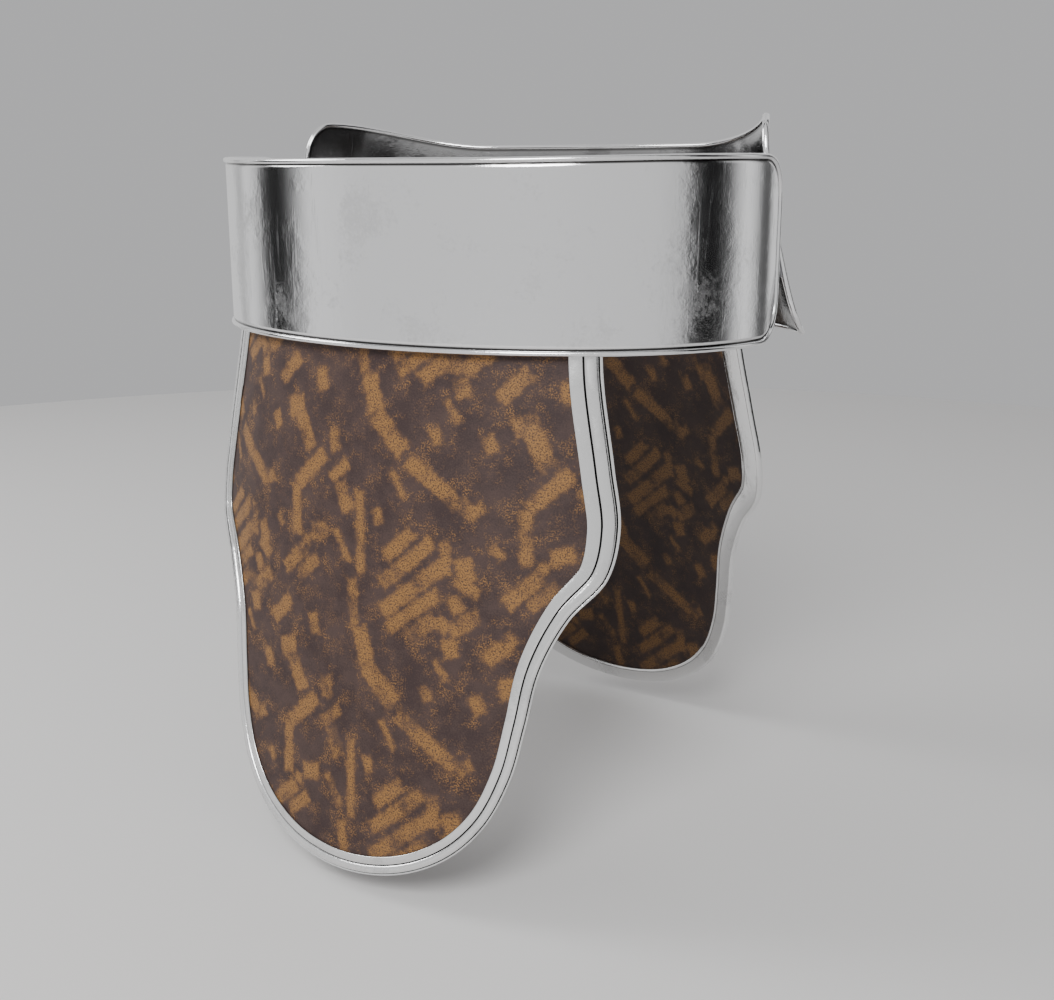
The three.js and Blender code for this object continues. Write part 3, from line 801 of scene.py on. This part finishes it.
def printed_leather(name, shade):
    """Mottled leather with the worn print over it; a share below one darkens every tone as painted shade."""
    material, tree, shader = new_material(name)
    flat = add_node(tree, "ShaderNodeUVMap", uv_map="UVMap").outputs[0]
    gold = add_node(tree, "ShaderNodeGroup", node_tree=WORN_PRINT)
    tree.links.new(flat, gold.inputs["Flat place"])
    distance = add_node(tree, "ShaderNodeAttribute", attribute_name="print_distance").outputs["Fac"]
    tree.links.new(distance, gold.inputs["Distance"])
    patch = add_node(tree, "ShaderNodeTexNoise",
                     {"Vector": flat, "Scale": PATCH_SCALE, "Detail": 6.0, "Roughness": 0.7})
    grain = add_node(tree, "ShaderNodeTexNoise", {"Vector": flat, "Scale": GRAIN_SCALE, "Detail": 2.0})
    mottled = calculate(tree, "ADD", patch.outputs[0], calculate(tree, "MULTIPLY", grain.outputs[0], 0.5))
    ground = blend_colours(tree, remap(tree, mottled, 0.55, 0.95, 0.0, 1.0),
                           shaded(LEATHER_TONE, shade), shaded(LEATHER_WORN, shade))
    printed = blend_colours(tree, gold.outputs[0], ground, shaded(GOLD_TONE, shade))
    tree.links.new(printed, shader.inputs["Base Color"])
    tree.links.new(remap(tree, gold.outputs[0], 0.0, 1.0, 0.62, 0.48), shader.inputs["Roughness"])
    relief = calculate(tree, "ADD", grain.outputs[0], calculate(tree, "MULTIPLY", gold.outputs[0], GOLD_RELIEF))
    bump = add_node(tree, "ShaderNodeBump",
                    {"Strength": LEATHER_BUMP, "Distance": LEATHER_BUMP_DEPTH, "Height": relief})
    tree.links.new(bump.outputs[0], shader.inputs["Normal"])
    shader.inputs["Specular IOR Level"].default_value = LEATHER_SHINE
    return material


LEATHER = printed_leather("printed_leather", OUTSIDE_SHADE)
# A darker copy of the same leather for the inner faces: painted shade.
LEATHER_INSIDE_PAINTED_SHADE = printed_leather("printed_leather_inside_painted_shade", INSIDE_PAINTED_SHADE)
print("leather finishes:", LEATHER.name, LEATHER_INSIDE_PAINTED_SHADE.name)

# %% [markdown]
# ## Leather panels
# A panel fills the frame's slot from side to side. It is one sheet of rows that narrow with the outline,
# with its UV map measured flat, and a Solidify modifier gives it the leather's thickness.

# %% Panels
PANEL_COLUMNS = 180


def tasset_panel(name, facing):
    """The leather in a frame's slot: a bent sheet with the print's distances, given its thickness."""
    inset = HALF["width"] - SLOT_DEPTH + GAP
    half = np.maximum(0.02, HALF["across"] + HALF["in_across"] * inset)
    drop = HALF["drop"] + HALF["in_drop"] * inset
    half[0], drop[0] = HALF["across"][0] - inset[0], HALF["drop"][0]
    share = np.linspace(-1.0, 1.0, PANEL_COLUMNS + 1)
    across = (half[:, None] * share[None, :]).ravel()
    down = np.repeat(drop, PANEL_COLUMNS + 1)
    row = PANEL_COLUMNS + 1
    faces = [(r * row + c, r * row + c + 1, (r + 1) * row + c + 1, (r + 1) * row + c)
             for r in range(len(drop) - 1) for c in range(PANEL_COLUMNS)]
    if facing < 0:
        faces = [face[::-1] for face in faces]
    mesh = bpy.data.meshes.new(name + "_panel_sheet")
    mesh.from_pydata((bend(facing, across, down, 0.0 * across) * MM).tolist(), [], faces)
    distance = mesh.attributes.new("print_distance", "FLOAT", "POINT")
    distance.data.foreach_set("value", print_distance(across, down))
    flat = np.stack([across, down], axis=1) * MM
    corners = np.zeros(len(mesh.loops), dtype=np.int32)
    mesh.loops.foreach_get("vertex_index", corners)
    mesh.uv_layers.new(name="UVMap").data.foreach_set("uv", flat[corners].ravel())
    mesh.shade_smooth()
    mesh.materials.append(LEATHER)
    mesh.materials.append(LEATHER_INSIDE_PAINTED_SHADE)
    sheet = bpy.data.objects.new(name + "_panel_sheet", mesh)
    bpy.context.collection.objects.link(sheet)
    wall = sheet.modifiers.new("wall", "SOLIDIFY")
    wall.thickness = PANEL_WALL * MM
    wall.offset = -1.0
    # The inner faces take the darker copy of the leather, which is painted shade.
    wall.material_offset = 1
    solid = baked_mesh(sheet)
    solid.set_sharp_from_angle(angle=SHARP_ANGLE)
    piece = bpy.data.objects.new(name + "_leather", solid)
    bpy.context.collection.objects.link(piece)
    return piece


leather_panels = {plate["name"]: tasset_panel(plate["name"], plate["facing"])
                  for plate in (FRONT_PLATE, BACK_PLATE)}
for piece in leather_panels.values():
    print(piece.name, len(piece.data.polygons), "faces")

# %% [markdown]
# ## Pins
# Three plain pins hold each tasset inside its plate. They are alike, so one pin is turned as a small
# solid and a Geometry Nodes tree sets a copy at each place, square to the sheet.

# %% Pins on points
PIN_ANGLES = (-28.0, 0.0, 28.0)
PIN_RISE = 10.0
PIN_PROFILE = ((0, -4.1), (2.4, -4.05), (3.9, -3.7), (4.8, -3.0), (5, -2.3), (2, -2.3), (2, 0.3), (4.5, 0.3),
               (4.5, 2.5), (0, 2.5))
PIN_SIDES = 24


def pin_tree():
    """Sets a copy of the pin at each place, turned to face outwards."""
    tree = bpy.data.node_groups.new("pins_on_points", "GeometryNodeTree")
    tree.interface.new_socket("Places", in_out="INPUT", socket_type="NodeSocketGeometry")
    tree.interface.new_socket("Pin", in_out="INPUT", socket_type="NodeSocketObject")
    tree.interface.new_socket("Steel", in_out="INPUT", socket_type="NodeSocketMaterial")
    tree.interface.new_socket("Pins", in_out="OUTPUT", socket_type="NodeSocketGeometry")
    entry = tree.nodes.new("NodeGroupInput")
    leave = tree.nodes.new("NodeGroupOutput")
    pin = add_node(tree, "GeometryNodeObjectInfo", {"Object": entry.outputs["Pin"]})
    way = add_node(tree, "GeometryNodeInputNamedAttribute", {"Name": "outwards"}, data_type="FLOAT_VECTOR")
    turn = add_node(tree, "FunctionNodeAlignRotationToVector", {"Vector": way.outputs[0]}, axis="Z")
    set_out = add_node(tree, "GeometryNodeInstanceOnPoints",
                       {"Points": entry.outputs["Places"], "Instance": pin.outputs["Geometry"],
                        "Rotation": turn.outputs[0]})
    real = add_node(tree, "GeometryNodeRealizeInstances", {0: set_out.outputs[0]})
    finished = add_node(tree, "GeometryNodeSetMaterial",
                        {"Geometry": real.outputs[0], "Material": entry.outputs["Steel"]})
    tree.links.new(finished.outputs[0], leave.inputs[0])
    return tree


PIN_TREE = pin_tree()


def turned_pin():
    """One pin, turned about its own axis, with its collar towards +Z."""
    profile = np.array(PIN_PROFILE, dtype=float)
    turn = np.linspace(0.0, 2 * math.pi, PIN_SIDES, endpoint=False)
    points = [(r * math.cos(a), r * math.sin(a), z) for r, z in profile for a in turn]
    faces = [(row * PIN_SIDES + i, row * PIN_SIDES + (i + 1) % PIN_SIDES,
              (row + 1) * PIN_SIDES + (i + 1) % PIN_SIDES, (row + 1) * PIN_SIDES + i)
             for row in range(len(profile) - 1) for i in range(PIN_SIDES)]
    return make_object("pin", make_mesh("pin", points, faces), PIN_STEEL)


def tasset_pins(name, facing):
    """The pins of one tasset, set square to its sheet."""
    plan_turn = np.radians(np.abs(PIN_ANGLES))
    steps = np.interp(plan_turn, np.linspace(0.0, math.pi, ARC_STEPS), SHEET_PLAN["length"])
    across = np.sign(PIN_ANGLES) * steps
    level = np.full(len(across), -PIN_RISE)
    spot = bend(facing, across, level, 0.0 * across)
    outwards = bend(facing, across, level, 0.0 * across + 1.0) - spot
    places = wire("pin_places", spot * MM, False, outwards=outwards)
    pin = turned_pin()
    modifier = places.modifiers.new("pins", "NODES")
    modifier.node_group = PIN_TREE
    set_input(modifier, PIN_TREE, "Pin", pin)
    set_input(modifier, PIN_TREE, "Steel", PIN_STEEL)
    piece = bpy.data.objects.new(name + "_pins", baked_mesh(places))
    bpy.context.collection.objects.link(piece)
    bpy.data.objects.remove(pin)
    return piece


pins = {plate["name"]: tasset_pins(plate["name"], plate["facing"]) for plate in (FRONT_PLATE, BACK_PLATE)}
for piece in pins.values():
    print(piece.name, len(piece.data.polygons), "faces")

# %% [markdown]
# ## Joining the pieces to the frame
# The armour has no moving joints, so every piece rides on the one body. A piece that is made again here
# stands for its solid, and the two plain joiners inside the hips keep theirs, with the pins' steel.

# %% Ride, replace and give the joiners their steel
for plate in (FRONT_PLATE, BACK_PLATE):
    side = plate["name"]
    for piece, nodes, finish in (
        (plate_sheets[side], [side + "_belt_plate"], "polished_steel"),
        (plate_rims[side], [side + "_belt_plate"], "polished_steel"),
        (frame_mouldings[side], [side + "_tasset_frame"], "frame_steel"),
        (leather_panels[side], [side + "_tasset_panel"], "printed_leather"),
        (pins[side], [f"{side}_tasset_pin_{i + 1}" for i in range(len(PIN_ANGLES))], "pin_steel"),
    ):
        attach(piece, "root")
        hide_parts(*nodes)
for name in ("left_hip_joiner", "right_hip_joiner"):
    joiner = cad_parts[name]
    joiner.data.materials.clear()
    joiner.data.materials.append(PIN_STEEL)
print("pieces joined to the frame")

# %% [markdown]
# ## Floor and light
# A pale floor lies under the tips. Polished steel shows whatever is round it, so the room is made of
# broad pale panels with two darker gaps between them: the gaps give the belt its dark stripes and
# make it read as metal. Soft lamps overhead light the leather.

# %% Floor
FLOOR_DROP = 0.012
FLOOR_RADIUS = 1.6
FLOOR_SIDES = 96
FLOOR_TONE = (0.74, 0.73, 0.72, 1.0)
FLOOR_ROUGHNESS = 0.9
floor_level = cad_box[0][2] - FLOOR_DROP
turns = np.linspace(0.0, 2 * math.pi, FLOOR_SIDES, endpoint=False)
floor_mesh = bpy.data.meshes.new("floor")
floor_points = [(FLOOR_RADIUS * math.cos(a), FLOOR_RADIUS * math.sin(a), floor_level) for a in turns]
floor_mesh.from_pydata(floor_points, [], [tuple(range(FLOOR_SIDES))])
floor = bpy.data.objects.new("floor", floor_mesh)
bpy.context.collection.objects.link(floor)
floor_material, _, floor_shader = new_material("pale_floor")
floor_shader.inputs["Base Color"].default_value = FLOOR_TONE
floor_shader.inputs["Roughness"].default_value = FLOOR_ROUGHNESS
floor_mesh.materials.append(floor_material)
print("floor at", round(floor_level, 4), "m")

# %% Room and lamps
ROOM_TONE = (0.62, 0.62, 0.63, 1.0)
ROOM_STRENGTH = 0.8
# Heading round the room as a share of a turn from -X through -Y, with the brightness reflected there
ROOM_PANELS = (
    (0.0, 0.95), (0.012, 0.6), (0.026, 0.03), (0.044, 0.006), (0.058, 0.012), (0.071, 0.25), (0.09, 1.05),
    (0.14, 0.88), (0.3, 0.88), (0.44, 0.82), (0.478, 0.66), (0.497, 0.06), (0.515, 0.006), (0.54, 0.012),
    (0.563, 0.12), (0.585, 0.7), (0.61, 1.1), (0.635, 0.7), (0.656, 0.12), (0.684, 0.08), (0.702, 0.95),
    (0.8, 0.75), (0.95, 0.9), (0.968, 0.45), (0.985, 1.05),
)


def room_light():
    """Even light for the scene, and the banded panels only where a surface mirrors the room."""
    world = bpy.data.worlds.new("room")
    bpy.context.scene.world = world
    world.use_nodes = True
    tree = world.node_tree
    plain = tree.nodes["Background"]
    plain.inputs[0].default_value = ROOM_TONE
    plain.inputs[1].default_value = ROOM_STRENGTH
    round_room = add_node(tree, "ShaderNodeTexCoord").outputs["Generated"]
    heading = add_node(tree, "ShaderNodeSeparateXYZ", {0: round_room})
    angle = calculate(tree, "ARCTAN2", heading.outputs[1], heading.outputs[0])
    share = calculate(tree, "ADD", calculate(tree, "DIVIDE", angle, 2 * math.pi), 0.5)
    ramp = add_node(tree, "ShaderNodeValToRGB", {0: share})
    stops = ramp.color_ramp.elements
    for place, tone in ROOM_PANELS:
        stop = stops[0] if place == 0.0 else stops.new(place)
        stop.color = (tone, tone, tone, 1.0)
    stops[-1].color = (ROOM_PANELS[0][1],) * 3 + (1.0,)
    panels = add_node(tree, "ShaderNodeBackground", {0: ramp.outputs[0], 1: 1.0})
    path = add_node(tree, "ShaderNodeLightPath")
    mixed = add_node(tree, "ShaderNodeMixShader", {0: path.outputs["Is Glossy Ray"], 1: plain.outputs[0],
                                                   2: panels.outputs[0]})
    tree.links.new(mixed.outputs[0], tree.nodes["World Output"].inputs[0])


def lamp(name, place, target, size, power):
    """A round soft lamp turned towards a target."""
    light = bpy.data.lights.new(name, "AREA")
    light.shape = "DISK"
    light.size = size
    light.energy = power
    holder = bpy.data.objects.new(name, light)
    holder.location = place
    way = np.array(target) - np.array(place)
    tilt = math.acos(-way[2] / np.linalg.norm(way))
    holder.rotation_euler = (tilt, 0.0, math.atan2(way[1], way[0]) - math.pi / 2)
    bpy.context.collection.objects.link(holder)


MIDDLE = (0.0, 0.0, -0.12)
room_light()
lamp("front_lamp", (0.5, -1.5, 1.1), MIDDLE, size=0.9, power=30.0)
lamp("left_lamp", (-1.4, -0.5, 0.9), MIDDLE, size=0.8, power=12.0)
print("room and lamps ready")
